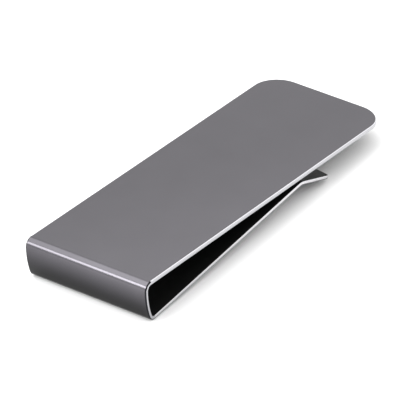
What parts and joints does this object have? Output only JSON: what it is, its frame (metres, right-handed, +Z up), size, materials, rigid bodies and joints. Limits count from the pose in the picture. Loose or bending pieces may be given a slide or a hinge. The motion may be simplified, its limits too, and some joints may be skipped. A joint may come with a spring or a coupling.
{
  "type": "money clip",
  "caption": "Slim money clip bent from a strip of spring steel: a flat front plate, a narrow spine and a spring leg that ends in a grip crest and a thumb lip.",
  "frame": {"origin": "under the middle of the clip's bounding box, on the surface that the clip lies on", "axes": "+X from the spine towards the plate's free end, +Y across the strip, +Z up with the plate uppermost"},
  "size_m": [0.0756, 0.0254, 0.0083],
  "materials": {
    "spring_steel": "satin gunmetal faces with polished edges"
  },
  "bodies": {
    "leg": {"spring_leg": "spring_steel", "grip_crest": "spring_steel", "thumb_lip": "spring_steel"},
    "spine": {"lower_bend": "spring_steel", "spine_wall": "spring_steel", "upper_bend": "spring_steel"},
    "plate": {"front_plate": "spring_steel"}
  },
  "joints": [
    {"name": "leg_flex", "type": "hinge", "parent": "leg", "child": "spine", "pos_m": [-0.03491, 0, 0.00036], "axis": [0, -1, 0], "range_deg": [-0.3, 3.5], "stiffness_Nm_per_rad": 9.3},
    {"name": "plate_flex", "type": "hinge", "parent": "spine", "child": "plate", "pos_m": [-0.03613, 0, 0.0079], "axis": [0, -1, 0], "range_deg": [-0.3, 3.5], "stiffness_Nm_per_rad": 9.3}
  ]
}
